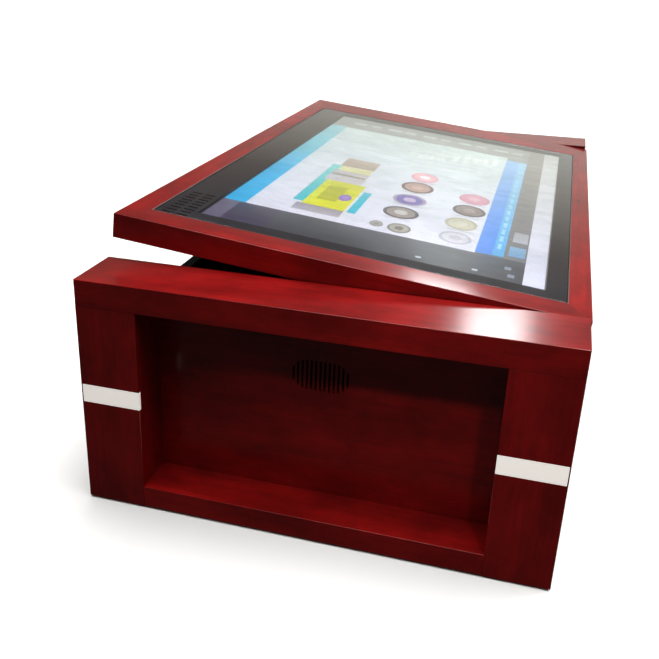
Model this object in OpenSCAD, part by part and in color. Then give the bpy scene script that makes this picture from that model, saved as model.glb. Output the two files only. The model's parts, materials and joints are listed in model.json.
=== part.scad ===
// Coffee-table gaming machine: a wooden table with a tilting glass lid over a large display.
// Origin: centre of the footprint on the floor. X is the table's width, Y its length, Z up.
// The lid turns about a Y axis along the right-hand side wall and stands a little open at rest.

/* [Table] */
// Width of the table, across the end frames
table_w = 750; // [650:5:900]
// Length of the table, over both end frames
table_l = 1476; // [1400:4:1800]
// Height from the floor to the top of the end frames
table_h = 390; // [360:5:500]

/* [End frames] */
// Thickness of each end frame
end_t = 114; // [100:1:140]
// Width of the upright stiles
stile_w = 100; // [90:1:120]
// Height of the top rail
top_rail_h = 43; // [36:1:60]
// Height of the bottom rail
bottom_rail_h = 37; // [30:1:60]
// Depth from the front face to the back panel
niche_depth = 78; // [65:1:84]
// Thickness of the back panel
panel_t = 18; // [15:1:20]
// Thickness of the boards that the hollow stiles are made of
stile_board = 15; // [12:1:18]
// Height of the glides under the frames
glide_h = 4; // [3:0.5:8]
// Radius of the glides
glide_r = 15; // [10:1:20]

/* [Light bands] */
// Height of the frosted light bands
band_h = 31; // [20:1:40]
// Height of the middle of the bands above the floor
band_z = 198; // [150:1:240]
// Thickness of the acrylic of the bands
band_t = 6; // [4:1:8]
// Wood left between the band's end and the outer corner
band_edge = 2; // [1:0.5:6]
// Play round the bands and the light bars
band_play = 0.2; // [0.1:0.05:0.4]

/* [Speakers] */
// Width of the slotted field
grille_w = 93; // [80:1:110]
// Height of the slotted field
grille_h = 52; // [44:1:60]
// Number of slots
grille_slots = 13; // [9:2:15]
// Width of each slot
slot_w = 3.2; // [2.4:0.1:4]
// Distance of the field's middle from the table's centre line
grille_x = -4; // [-60:1:60]
// Height of the field's middle above the floor
grille_z = 251; // [200:1:260]
// Wood left in front of the speaker
grille_skin = 8; // [5:1:10]
// Margin of the pocket round the slotted field
pocket_margin = 12; // [9:1:16]
// Depth of the speaker behind its flange
speaker_depth = 42; // [34:1:50]

/* [Carcass] */
// Distance from the table's edge to the outer face of each side wall
wall_inset = 75; // [70:1:95]
// Thickness of the side walls
wall_t = 18; // [16:1:20]
// Height of the walls' lower edge above the floor
wall_foot = 22; // [15:1:30]
// Thickness of the base board
base_t = 18; // [15:1:20]
// Width and height of the corner battens
batten = 20; // [16:1:24]

/* [Lid] */
// Thickness of the lid's wooden frame
lid_t = 41; // [38:0.5:50]
// Angle at which the lid stands open at rest
lid_open = 6.2; // [4:0.1:10]
// Gap between the lid and each end frame
lid_gap = 4; // [3:0.5:8]
// Distance of the closed lid's free edge from the table's edge
lid_inset_left = 2; // [1:0.5:10]
// Distance of the closed lid's hinge edge from the table's edge
lid_inset_right = 1; // [0:0.5:10]
// Visible width of the near rail
rail_near = 54; // [50:1:70]
// Visible width of the far rail
rail_far = 107; // [60:1:120]
// Visible width of the left rail
rail_left = 41; // [36:1:60]
// Visible width of the right rail
rail_right = 34; // [30:1:60]
// Width of the ledge under the glass
ledge = 10; // [8:1:10]
// Height of the rubber bumpers that the closed lid rests on
bumper_h = 3; // [2.5:0.5:5]

/* [Glass and display] */
// Thickness of the toughened glass
glass_t = 5; // [4:0.5:6]
// Width of the silicone bead round the glass
bead_w = 1.5; // [1:0.25:2.5]
// Thickness of the black mask plate under the glass
mask_t = 3; // [2:0.5:3]
// Width of the display's lit area
display_w = 573; // [520:1:580]
// Length of the display's lit area
display_l = 1018; // [930:1:1020]
// Distance from the glass opening's left edge to the lit area
border_left = 65; // [40:1:70]
// Distance from the glass opening's near edge to the lit area
border_near = 39; // [30:1:60]
// Width of the display's bezel
bezel_w = 10; // [8:1:10]
// Thickness of the display module
module_t = 30; // [26:1:30]
// Height of the electronics cover below the lid
cover_h = 28; // [22:1:32]
// Number of louvre slots in each of the two columns
louvres = 9; // [5:1:10]
// Length of each louvre slot
louvre_l = 20; // [14:1:22]
// Width of each louvre slot
louvre_w = 6; // [4:0.5:7]
// Spacing of the louvre slots
louvre_pitch = 15.5; // [12:0.5:18]

/* [Hinges] */
// Radius of the knuckles
knuckle_r = 5; // [4.5:0.5:7]
// Radius of the hinge pin
pin_r = 2; // [1.5:0.25:2.5]
// Running clearance on the pin
pin_play = 0.05; // [0.02:0.01:0.08]
// Thickness of the leaves
leaf_t = 2; // [1.5:0.25:2.5]
// Width of the leaf on the wall
leaf_w = 40; // [30:1:44]
// Length of each hinge
hinge_l = 100; // [80:1:140]
// Distance of the outer hinges from the middle one
hinge_spread = 440; // [300:5:480]
// Gap between neighbouring knuckles
knuckle_gap = 0.5; // [0.4:0.1:1]

/* [Gas struts] */
// Distance from the hinge axis to the strut's lower pivot, across the table
strut_base_in = 150; // [140:1:155]
// Depth of the strut's lower pivot below the hinge axis
strut_base_down = 218; // [210:1:225]
// Distance from the hinge axis to the strut's upper pivot on the closed lid
strut_lid_in = 261; // [255:1:266]
// Depth of the strut's upper pivot below the hinge axis on the closed lid
strut_lid_down = 20; // [18:1:22]
// Distance of the struts from the end frames
strut_from_end = 32; // [30:1:40]
// Outer radius of the cylinder
cylinder_r = 9; // [8:0.5:11]
// Wall of the cylinder
cylinder_wall = 1.5; // [1:0.25:2]
// Length from the lower pivot to the cylinder's mouth
cylinder_l = 197; // [190:1:200]
// Radius of the rod
strut_rod_r = 4; // [3:0.5:5]
// Radius of the ball studs
stud_r = 4; // [3:0.5:5]
// Clearance in the rod's eye, which takes up the strut's true swing
eye_play = 3; // [2.8:0.1:4]

/* [Lock and electrics] */
// Radius of the cam lock's barrel
lock_r = 9.5; // [8:0.5:11]
// Depth of the lock's axis below the lid's underside
lock_down = 33; // [30:1:38]
// Length of the cam's arm from the lock's axis
cam_l = 26; // [22:1:28]
// Thickness of the cam and its keeper
cam_t = 3; // [2:0.5:3]
// Side of the square cooling fan
fan_w = 92; // [80:1:100]
// Depth of the fan
fan_d = 25; // [20:1:30]
// Distance of the fan from the table's middle, along the length
fan_y = -250; // [-300:5:-150]
// Height of the fan's axis above the floor
fan_z = 190; // [150:1:220]
// Distance of the power inlet from the table's middle, along the length
inlet_y = 300; // [200:5:400]
// Height of the power inlet above the floor
inlet_z = 110; // [100:1:160]
// Thickness of sheet metal
sheet_t = 1.2; // [1:0.1:1.6]
// Clearance between parts that only lie beside each other
play = 0.5; // [0.4:0.1:1]

/* [Hidden] */
$fn = 48;

stain = [0.55, 0.08, 0.07];
steel = [0.72, 0.73, 0.75];
zinc = [0.62, 0.60, 0.52];
black = [0.07, 0.07, 0.08];
board_green = [0.06, 0.28, 0.14];

// End frames
face_y = -table_l / 2;
back_y = face_y + end_t;
half_w = table_w / 2;
niche_x = half_w - stile_w;
niche_z0 = glide_h + bottom_rail_h;
niche_z1 = table_h - top_rail_h;
panel_y = face_y + niche_depth;
pocket_w = grille_w + 2 * pocket_margin;
pocket_h = grille_h + 2 * pocket_margin;
pocket_y = panel_y + grille_skin;
speaker_flange = 2;
speaker_dome_r = 11;
cone_inset = 6;
band_lip = 8;
bar_t = 6;
bar_back_t = 3;

// Carcass
wall_x = half_w - wall_inset;
wall_in = wall_x - wall_t;
base_top = wall_foot + base_t;
lid_under = table_h - lid_t;
wall_top = lid_under - bumper_h;
bumper_gap = 0.4;
bumper_r = 6;
bumper_from_end = 30;
// The battens start behind the back panel where the end frame is thinner than the panel's place
batten_y = max(back_y, panel_y + panel_t);

// Lid, in its closed place
lid_x = [-half_w + lid_inset_left, half_w - lid_inset_right];
lid_y = [back_y + lid_gap, -back_y - lid_gap];
glass_x = [lid_x[0] + rail_left, lid_x[1] - rail_right];
glass_y = [lid_y[0] + rail_near, lid_y[1] - rail_far];
ledge_x = [glass_x[0] + ledge, glass_x[1] - ledge];
ledge_y = [glass_y[0] + ledge, glass_y[1] - ledge];
glass_z = table_h - glass_t;
mask_z = glass_z - mask_t;
lit_x = [glass_x[0] + border_left, glass_x[0] + border_left + display_w];
lit_y = [glass_y[0] + border_near, glass_y[0] + border_near + display_l];
module_x = [lit_x[0] - bezel_w, lit_x[1] + bezel_w];
module_y = [lit_y[0] - bezel_w, lit_y[1] + bezel_w];
module_z = mask_z - 2;
module_z0 = module_z - module_t;
bezel_d = 12;
bezel_lip = 1.5;
cell_t = 2.5;
guide_t = 8;
cover_z = module_z0 - cover_h;
cover_margin = 28;
cover_flange = 6;
cover_slots = 12;
cover_slot_pitch = 14;
cover_slot_y = 180;
vent_slot = [5, 80];
display_bracket_w = 40;
display_bracket_h = 20;
display_bracket_t = 2;
display_bracket_lap = 14;
cover_x = [max(module_x[0], -wall_in) + cover_margin, min(module_x[1], wall_in) - cover_margin];
cover_y = [module_y[0] + cover_margin, module_y[1] - cover_margin];

// Hinge line
hinge_x = wall_x + play + knuckle_r;
hinge_z = lid_under - play - knuckle_r;
hinge_places = [-hinge_spread, 0, hinge_spread];
knuckles = 5;
knuckle_l = hinge_l / knuckles;
leaf_holes = [-1, -1 / 3, 1 / 3, 1] * (hinge_l / 2 - 12);
screw_r = 1.8;
screw_l = 13;
screw_head_r = 3.6;
screw_head_h = 1.4;

// Gas struts: the angle and length that the rest pose asks for, and how far the lid lifts from there
strut_base = [hinge_x - strut_base_in, hinge_z - strut_base_down];
strut_top = [
    hinge_x - strut_lid_in * cos(lid_open) - strut_lid_down * sin(lid_open),
    hinge_z + strut_lid_in * sin(lid_open) - strut_lid_down * cos(lid_open)];
strut_l = norm(strut_top - strut_base);
strut_lean = atan2(strut_top[0] - strut_base[0], strut_top[1] - strut_base[1]);
strut_y = back_y + strut_from_end;
lid_lift = 28.8;
strut_swing = lid_open + lid_lift;
strut_long = norm([
    -strut_lid_in * cos(strut_swing) - strut_lid_down * sin(strut_swing) + strut_base_in,
    strut_lid_in * sin(strut_swing) - strut_lid_down * cos(strut_swing) + strut_base_down]);
eye_w = 10;
eye_r = stud_r + eye_play + 3;
piston_l = 8;
piston_in = 18;
eye_wall = 4;
neck_w = 10;
neck_l = 16;
cylinder_foot = 14;
bore_foot = 28;
guide_l = 8;
rod_collar = 8;
stud_end = 2;
bracket_t = 3;
bracket_w = 36;
bracket_y = strut_y - eye_w / 2 - 14;
bracket_foot = 34;
lid_bracket_y = strut_y + eye_w / 2 + 10;

// Lock
lock_z = lid_under - lock_down;
cam_x = -wall_in + 7;
cam_w = 11;
spindle_r = 3;
keyway = [1.5, 1.6, 8];
keeper_y = [14, 36];
keeper_gap = 2;
keeper_flange = 12;
latch_gap = 1.5;

// Electrics
fan_r = fan_w / 2 - 4;
hub_r = 18;
blades = 7;
blade_play = 2;
blade_w = 18;
blade_t = 2;
blade_twist = 38;
rotor_t = 14;
rotor_x = 6;
axle_r = 2;
spoke_w = 4;
hub_t = 4;
fan_hole_r = 2.2;
fan_hole_in = 5;
inlet_w = 72;
inlet_h = 36;
inlet_d = 32;
inlet_flange = 3;
socket = [24, 16];
socket_d = 18;
socket_y = inlet_y - 14;
rocker_y = inlet_y + 20;
rocker_w = 12;
rocker_h = 22;
rocker_tilt = 8;
rocker_pin = 1.5;
pin_places = [[-7, 0], [0, 3], [7, 0]];
pin_half = [1, 2];
grille_bars = 9;
grille_frame = 12;
grille_slot_h = 5;
grille_slot_pitch = 9;
board_t = 1.6;
post_r = 3;
post_h = 6;
case_x = [-200, 60];
case_y = [-150, 150];
case_h = 66;
port_y = [-90, 40];
port_z = [8, 50];
ports = 5;
port_pitch = 24;
psu_x = [-170, -60];
psu_y = [230, 430];
psu_h = 50;
terminals = 20;
driver_x = [-200, -150];
driver_y = [-420, -260];
driver_h = 24;
driver_ear = 10;
lead_r = 3.6;
lead_bend = 18;

// ---- Helpers ----

// A range made smaller at both ends, and a range on both sides of a middle
function inset(range, by) = [range[0] + by, range[1] - by];
function about(middle, half) = [middle - half, middle + half];

// A box given by its ranges along X, Y and Z
module block(x, y, z) {
    translate([x[0], y[0], z[0]]) cube([x[1] - x[0], y[1] - y[0], z[1] - z[0]]);
}

// Puts the near end's pieces in their place, or mirrors them to the far end
module at_end(side) {
    if (side < 0) children();
    else mirror([0, 1, 0]) children();
}

// Puts the left-hand pieces in their place, or mirrors them to the right
module at_side(side) {
    if (side < 0) children();
    else mirror([1, 0, 0]) children();
}

// Turns the lid's pieces from their closed place to the rest pose
module on_lid() {
    translate([hinge_x, 0, hinge_z]) rotate([0, lid_open, 0]) translate([-hinge_x, 0, -hinge_z]) children();
}

// Cylinders along X and Y, from a start point
module rod_x(r, l, p) { translate(p) rotate([0, 90, 0]) cylinder(r = r, h = l); }
module rod_y(r, l, p) { translate(p) rotate([-90, 0, 0]) cylinder(r = r, h = l); }

// A flat oblong with round ends, w wide along X and h high
module oblong(w, h) {
    square([w - h, h], center = true);
    for (s = [-1, 1]) translate([s * (w - h) / 2, 0]) circle(d = h);
}

// ---- End frames ----

module top_rail(side) {
    color(stain) at_end(side) block([-half_w, half_w], [face_y, back_y], [niche_z1, table_h]);
}

// The band's rebate in a stile, or with a lip the narrower window behind it
module band_hole(y, lip) {
    grow = lip > 0 ? -lip : band_play;
    inner = lip > 0 ? -niche_x - lip : -niche_x + 1;
    block([-half_w + band_edge - grow, inner], y, about(band_z, band_h / 2 + grow));
}

module stile(end, side) {
    color(stain) at_end(end) at_side(side) difference() {
        block([-half_w, -niche_x], [face_y, back_y], [glide_h, niche_z1]);
        block([-half_w + stile_board, -niche_x - stile_board],
            [face_y + stile_board, back_y - stile_board], [glide_h + stile_board, niche_z1 + 1]);
        band_hole([face_y - 1, face_y + band_t], 0);
        band_hole([face_y, face_y + stile_board + 1], band_lip);
    }
}

module bottom_rail(side) {
    color(stain) at_end(side) block([-niche_x, niche_x], [face_y, back_y], [glide_h, niche_z0]);
}

// Height of the slotted field at a distance from its middle
function field_h(x) = let (r = grille_h / 2, d = max(0, abs(x) - (grille_w / 2 - r))) 2 * sqrt(r * r - d * d);

module grille_slot(x) {
    h = field_h(x) - slot_w;
    translate([grille_x + x, panel_y - 1, grille_z]) {
        translate([-slot_w / 2, 0, -h / 2]) cube([slot_w, panel_t + 2, h]);
        for (s = [-1, 1]) rod_y(slot_w / 2, panel_t + 2, [0, 0, s * h / 2]);
    }
}

module back_panel(side) {
    pitch = (grille_w - 2 * slot_w) / (grille_slots - 1);
    color(stain * 0.8) at_end(side) difference() {
        block([-niche_x, niche_x], [panel_y, panel_y + panel_t], [niche_z0, niche_z1]);
        for (i = [0 : grille_slots - 1]) grille_slot((i - (grille_slots - 1) / 2) * pitch);
        block([grille_x - pocket_w / 2, grille_x + pocket_w / 2],
            [pocket_y, panel_y + panel_t + 1], [grille_z - pocket_h / 2, grille_z + pocket_h / 2]);
    }
}

module light_bands(end) {
    color([0.95, 0.94, 0.90]) at_end(end) for (side = [-1, 1]) at_side(side)
        block([-half_w + band_edge, -niche_x], [face_y, face_y + band_t],
            [band_z - band_h / 2, band_z + band_h / 2]);
}

// An aluminium bar with light-emitting diodes, held against the inside of the stile's front board
module light_bars(end) {
    x0 = -half_w + band_edge + band_lip + play;
    x1 = -niche_x - band_lip - play;
    half_h = band_h / 2 - band_lip;
    color(steel) at_end(end) for (side = [-1, 1]) at_side(side) {
        block([x0, x1], [face_y + stile_board - bar_t, face_y + stile_board],
            about(band_z, half_h - play));
        block([max(x0, -half_w + stile_board + play), min(x1, -niche_x - stile_board - play)],
            [face_y + stile_board, face_y + stile_board + bar_back_t],
            about(band_z, half_h + bar_back_t + 1));
    }
}

module speaker(side) {
    rim = 2;
    cone_rim = rim + 3;
    magnet_r = grille_h / 2 - 4;
    color(black) at_end(side) translate([grille_x, pocket_y + play, grille_z]) rotate([-90, 0, 0]) {
        difference() {
            union() {
                block(about(0, pocket_w / 2 - 1), about(0, pocket_h / 2 - 1), [0, speaker_flange]);
                linear_extrude(speaker_depth / 2) oblong(grille_w - 2 * rim, grille_h - 2 * rim);
            }
            translate([0, 0, -1]) linear_extrude(cone_inset + 1)
                oblong(grille_w - 2 * cone_rim, grille_h - 2 * cone_rim);
        }
        cylinder(r = speaker_dome_r, h = speaker_depth);
        translate([0, 0, speaker_depth / 2]) cylinder(r = magnet_r, h = speaker_depth / 2);
    }
}

module glides() {
    color(black) for (side = [-1, 1]) at_end(side) for (x = [-1, -1 / 3, 1 / 3, 1])
        translate([x * (half_w - stile_w / 2), face_y + end_t / 2, 0]) cylinder(r = glide_r, h = glide_h);
}

// ---- Carcass ----

module left_wall() {
    color(stain) difference() {
        block([-wall_x, -wall_in], [back_y, -back_y], [wall_foot, wall_top]);
        rod_x(lock_r, wall_t + 2, [-wall_x - 1, 0, lock_z]);
    }
}

module right_wall() {
    color(stain) difference() {
        block([wall_in, wall_x], [back_y, -back_y], [wall_foot, wall_top]);
        rod_x(fan_r, wall_t + 2, [wall_in - 1, fan_y, fan_z]);
        block([wall_in - 1, wall_x + 1], about(inlet_y, inlet_w / 2 + play - 6),
            about(inlet_z, inlet_h / 2 + play - 4));
        for (y = hinge_places, s = leaf_holes, row = [0, 1])
            rod_x(screw_r, screw_l + 1, [wall_x - screw_l, y + s, leaf_row(row)]);
    }
}

module base_board() {
    color(stain * 0.7) block([-wall_in, wall_in], [back_y, -back_y], [wall_foot, base_top]);
}

module corner_battens() {
    x = [-wall_in, -wall_in + batten];
    color([0.80, 0.66, 0.45]) for (side = [-1, 1]) at_side(side) {
        block(x, [batten_y + batten, -batten_y - batten], [base_top, base_top + batten]);
        for (end = [-1, 1]) at_end(end) block(x, [batten_y, batten_y + batten], [base_top, wall_top - batten]);
    }
}

module lid_bumpers() {
    color(black) for (end = [-1, 1]) at_end(end) for (side = [-1, 1])
        translate([side * (wall_x - wall_t / 2), back_y + bumper_from_end, wall_top])
            cylinder(r1 = bumper_r, r2 = bumper_r - 1, h = bumper_h - bumper_gap);
}

// ---- Hinges ----

// Places of the two rows of screws, down the wall and across the lid's right rail
function leaf_row(row) = hinge_z - 14 - row * 18;
function lid_row(row) = (ledge_x[1] + lid_x[1]) / 2 + (row - 0.5) * 18;

// The knuckles of one leaf: the wall's are 0, 2 and 4, the lid's are 1 and 3
module knuckle_row(y, first, r, gap) {
    for (k = [first : 2 : knuckles - 1])
        rod_y(r, knuckle_l - 2 * gap, [hinge_x, y - hinge_l / 2 + k * knuckle_l + gap, hinge_z]);
}

module hinge_wall_leaves() {
    color(steel) for (y = hinge_places) difference() {
        union() {
            block([wall_x, wall_x + leaf_t], about(y, hinge_l / 2), [hinge_z - leaf_w, hinge_z]);
            knuckle_row(y, 0, knuckle_r, knuckle_gap / 2);
        }
        knuckle_row(y, 1, knuckle_r + play, -knuckle_gap / 2);
        rod_y(pin_r, hinge_l + 2, [hinge_x, y - hinge_l / 2 - 1, hinge_z]);
        for (s = leaf_holes, row = [0, 1]) rod_x(screw_r, leaf_t + 2, [wall_x - 1, y + s, leaf_row(row)]);
    }
}

module hinge_lid_leaves() {
    color(steel) on_lid() for (y = hinge_places) difference() {
        union() {
            block([hinge_x, lid_row(1) + 8], about(y, hinge_l / 2), [lid_under - leaf_t, lid_under]);
            knuckle_row(y, 1, knuckle_r, knuckle_gap / 2);
        }
        knuckle_row(y, 0, knuckle_r + play, -knuckle_gap / 2);
        rod_y(pin_r + pin_play, hinge_l + 2, [hinge_x, y - hinge_l / 2 - 1, hinge_z]);
        for (s = leaf_holes, row = [0, 1])
            translate([lid_row(row), y + s, lid_under - leaf_t - 1]) cylinder(r = screw_r, h = leaf_t + 2);
    }
}

module hinge_pins() {
    color(zinc) for (y = hinge_places) rod_y(pin_r, hinge_l, [hinge_x, y - hinge_l / 2, hinge_z]);
}

// A pan-head screw standing on z = 0, its shank going down
module screw() {
    cylinder(r1 = screw_head_r, r2 = screw_head_r - 1, h = screw_head_h);
    translate([0, 0, -screw_l - leaf_t + 1]) cylinder(r = screw_r, h = screw_l + leaf_t - 1);
}

module hinge_screws() {
    color(zinc) for (y = hinge_places, s = leaf_holes, row = [0, 1])
        translate([wall_x + leaf_t, y + s, leaf_row(row)]) rotate([0, 90, 0]) screw();
}

module lid_hinge_screws() {
    color(zinc) on_lid() for (y = hinge_places, s = leaf_holes, row = [0, 1])
        translate([lid_row(row), y + s, lid_under - leaf_t]) rotate([180, 0, 0]) screw();
}

// ---- Lid ----

// One rail of the lid's frame between two of its corners, mitred at both ends, with a rebate for
// the glass and the mask
module lid_rail(first, last) {
    outline = [lid_corner(lid_x, lid_y, first), lid_corner(lid_x, lid_y, last),
        lid_corner(ledge_x, ledge_y, last), lid_corner(ledge_x, ledge_y, first)];
    color(stain) on_lid() difference() {
        translate([0, 0, lid_under]) linear_extrude(lid_t) polygon(outline);
        block(glass_x, glass_y, [mask_z, table_h + 1]);
        for (y = hinge_places, s = leaf_holes, row = [0, 1])
            translate([lid_row(row), y + s, lid_under - 1]) cylinder(r = screw_r, h = screw_l);
    }
}

// A corner of a frame, counted from the near left one: [0, 0], [1, 0], [1, 1] or [0, 1]
function lid_corner(x, y, corner) = [x[corner[0]], y[corner[1]]];

module lid_near_rail() { lid_rail([0, 0], [1, 0]); }
module lid_far_rail() { lid_rail([1, 1], [0, 1]); }
module lid_left_rail() { lid_rail([0, 1], [0, 0]); }
module lid_right_rail() { lid_rail([1, 0], [1, 1]); }

module glass() {
    color([0.7, 0.8, 0.85, 0.35]) on_lid()
        block(inset(glass_x, bead_w), inset(glass_y, bead_w), [glass_z, table_h]);
}

module glass_bead() {
    color([0.75, 0.72, 0.70]) on_lid() difference() {
        block(glass_x, glass_y, [glass_z, table_h]);
        block(inset(glass_x, bead_w), inset(glass_y, bead_w), [glass_z - 1, table_h + 1]);
    }
}

module mask_plate() {
    first_x = glass_x[0] + ledge + 3 + louvre_l / 2;
    first_y = glass_y[0] + ledge + 2;
    color(black) on_lid() difference() {
        block(inset(glass_x, play), inset(glass_y, play), [mask_z, glass_z]);
        block(lit_x, lit_y, [mask_z - 1, glass_z + 1]);
        for (i = [0 : louvres - 1], c = [0, 1])
            translate([first_x + c * (louvre_l + 5), first_y + i * louvre_pitch, mask_z - 1])
                linear_extrude(mask_t + 2) oblong(louvre_l, louvre_w);
    }
}

module display_bezel() {
    color(steel * 0.5) on_lid() difference() {
        block(module_x, module_y, [module_z - bezel_d, module_z]);
        block(lit_x, lit_y, [module_z - bezel_d - 1, module_z + 1]);
        block(inset(module_x, bezel_lip), inset(module_y, bezel_lip),
            [module_z - bezel_d - 1, module_z - bezel_lip]);
    }
}

module display_panel() {
    color([0.15, 0.35, 0.45]) on_lid()
        block(inset(module_x, bezel_lip + play), inset(module_y, bezel_lip + play),
            [module_z - bezel_lip - cell_t, module_z - bezel_lip]);
}

module light_guide() {
    top = module_z - bezel_lip - cell_t;
    in = bezel_lip + sheet_t + 2 * play;
    color([0.9, 0.9, 0.92]) on_lid() block(inset(module_x, in), inset(module_y, in), [top - guide_t, top - play]);
}

module display_tray() {
    top = module_z - bezel_lip - cell_t - play;
    out = bezel_lip + play;
    color(steel * 0.8) on_lid() difference() {
        block(inset(module_x, out), inset(module_y, out), [module_z0, top]);
        block(inset(module_x, out + sheet_t), inset(module_y, out + sheet_t), [module_z0 + sheet_t, top + 1]);
        block(inset(cover_x, cover_flange), inset(cover_y, cover_flange),
            [module_z0 - 1, module_z0 + sheet_t + 1]);
    }
}

// Angle brackets that hold the display in the lid's frame
module display_brackets() {
    t = display_bracket_t;
    lap = display_bracket_lap;
    color(zinc) on_lid() for (y = [-1, 1] * hinge_spread / 2) {
        for (x = [[ledge_x[0], module_x[0] + lap], [module_x[1] - lap, ledge_x[1]]])
            block(x, about(y, display_bracket_w / 2), [module_z0 - t, module_z0]);
        for (x = [[ledge_x[0], ledge_x[0] + t], [ledge_x[1] - t, ledge_x[1]]])
            block(x, about(y, display_bracket_w / 2), [module_z0 - t, module_z0 + display_bracket_h]);
    }
}

// Sheet-metal cover over the electronics under the display, with cooling slots
module electronics_cover() {
    mid = (cover_x[0] + cover_x[1]) / 2;
    color(black * 3) on_lid() difference() {
        block(cover_x, cover_y, [cover_z, module_z0]);
        block(inset(cover_x, sheet_t), inset(cover_y, sheet_t), [cover_z + sheet_t, module_z0 + 1]);
        for (i = [0 : cover_slots - 1], y = [-1, 1] * cover_slot_y)
            block([0, vent_slot[0]] + [1, 1] * (mid + (i - (cover_slots - 1) / 2) * cover_slot_pitch),
                about(y, vent_slot[1] / 2), [cover_z - 1, cover_z + sheet_t + 1]);
    }
}

module display_board() {
    z0 = module_z0 - cover_h / 2;
    foot = cover_z + sheet_t;
    size = [180, 120];
    chips = [[-45, -5, 30, 30, 2.4], [22, -18, 24, 24, 2.4], [67, 30, 34, 40, 8.4]];
    mid = (cover_x[0] + cover_x[1]) / 2;
    color(board_green) on_lid() {
        block(about(mid, size[0] / 2), about(0, size[1] / 2), [z0, z0 + board_t]);
        for (x = [-1, 1], y = [-1, 1])
            translate([mid + x * (size[0] / 2 - 10), y * (size[1] / 2 - 10), foot])
                cylinder(r = post_r, h = z0 - foot);
        for (c = chips)
            block(about(mid + c[0], c[2] / 2), about(c[1], c[3] / 2), [z0 + board_t, z0 + board_t + c[4]]);
    }
}

// ---- Gas struts ----

// Puts a strut's pieces, modelled along +Z from the lower pivot, in their place
module on_strut(side) {
    at_end(side) translate([strut_base[0], strut_y, strut_base[1]]) rotate([0, strut_lean, 0]) children();
}

module strut_cylinder(side) {
    bore_r = cylinder_r - cylinder_wall;
    color(black) on_strut(side) difference() {
        union() {
            rod_y(stud_r + eye_wall, eye_w, [0, -eye_w / 2, 0]);
            block(about(0, neck_w / 2), about(0, eye_w / 2), [0, neck_l]);
            translate([0, 0, cylinder_foot]) cylinder(r = cylinder_r, h = cylinder_l - cylinder_foot);
        }
        rod_y(stud_r + pin_play, eye_w + 2, [0, -eye_w / 2 - 1, 0]);
        translate([0, 0, bore_foot]) cylinder(r = bore_r, h = cylinder_l - guide_l - bore_foot);
        translate([0, 0, cylinder_l - guide_l - 1]) cylinder(r = strut_rod_r + pin_play, h = guide_l + 2);
    }
}

module strut_rod(side) {
    foot = cylinder_l - piston_in - piston_l - (strut_long - strut_l);
    color(steel) on_strut(side) difference() {
        union() {
            translate([0, 0, foot]) cylinder(r = strut_rod_r, h = strut_l - eye_r + 1 - foot);
            translate([0, 0, foot]) cylinder(r = cylinder_r - cylinder_wall - pin_play, h = piston_l);
            translate([0, 0, strut_l - eye_r - rod_collar]) cylinder(r = strut_rod_r + 2, h = rod_collar + 1);
            rod_y(eye_r, eye_w, [0, -eye_w / 2, strut_l]);
        }
        rod_y(stud_r + eye_play, eye_w + 2, [0, -eye_w / 2 - 1, strut_l]);
    }
}

// Upright brackets on the base board that carry the struts' lower pivots
module strut_wall_brackets() {
    x = strut_base[0];
    z = strut_base[1];
    color(zinc) for (side = [-1, 1]) at_end(side) {
        block(about(x, bracket_w / 2), [bracket_y, bracket_y + bracket_t], [base_top, z]);
        rod_y(bracket_w / 2, bracket_t, [x, bracket_y, z]);
        block(about(x, bracket_w / 2), [bracket_y, bracket_y + bracket_foot],
            [base_top, base_top + bracket_t]);
        rod_y(stud_r, strut_y + eye_w / 2 + stud_end - bracket_y, [x, bracket_y, z]);
        rod_y(stud_r + 3, strut_y - eye_w / 2 - play - bracket_y, [x, bracket_y, z]);
    }
}

// Brackets under the lid's rails that carry the struts' upper pivots
module strut_lid_brackets() {
    x = hinge_x - strut_lid_in;
    z = hinge_z - strut_lid_down;
    color(zinc) for (side = [-1, 1]) at_end(side) on_lid() {
        block(about(x, bracket_w / 2), [lid_bracket_y - bracket_t, lid_bracket_y], [z, lid_under]);
        rod_y(bracket_w / 2, bracket_t, [x, lid_bracket_y - bracket_t, z]);
        block(about(x, bracket_w / 2), [strut_y - eye_w / 2, lid_bracket_y],
            [lid_under - bracket_t, lid_under]);
        rod_y(stud_r, lid_bracket_y - strut_y + eye_w / 2 + stud_end, [x, strut_y - eye_w / 2 - stud_end, z]);
    }
}

// ---- Lock ----

module lock_barrel() {
    collar = 2.5;
    nut = 3;
    color(steel) {
        rod_x(lock_r - 0.1, wall_t + collar, [-wall_x - 0.5, 0, lock_z]);
        difference() {
            rod_x(lock_r + 3, collar, [-wall_x - collar, 0, lock_z]);
            block([-wall_x - collar - 1, -wall_x - collar + keyway[0]],
                about(0, keyway[1] / 2), about(lock_z, keyway[2] / 2));
        }
        rod_x(lock_r + 4, nut, [-wall_in, 0, lock_z]);
        rod_x(spindle_r, cam_t + 5, [-wall_in + nut, 0, lock_z]);
    }
}

module lock_cam() {
    color(zinc) difference() {
        union() {
            rod_x(cam_w / 2 + 1, cam_t, [cam_x - cam_t, 0, lock_z]);
            block([cam_x - cam_t, cam_x], about(0, cam_w / 2), [lock_z, lock_z + cam_l]);
        }
        rod_x(spindle_r + pin_play, cam_t + 2, [cam_x - cam_t - 1, 0, lock_z]);
    }
}

// The keeper stays clear of the wall, towards which the lid's swing brings it by about 1 mm
module lock_keeper() {
    ledge_z = lock_z - cam_w / 2 - latch_gap;
    back_x = cam_x + 1;
    color(zinc) on_lid() {
        block([back_x, back_x + cam_t], keeper_y, [ledge_z - cam_t, lid_under]);
        block([-wall_in + keeper_gap, back_x + cam_t], keeper_y, [ledge_z - cam_t, ledge_z]);
        block([ledge_x[0] - keeper_flange, back_x + cam_t], keeper_y, [lid_under - 2, lid_under]);
    }
}

// ---- Electrics ----

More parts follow.
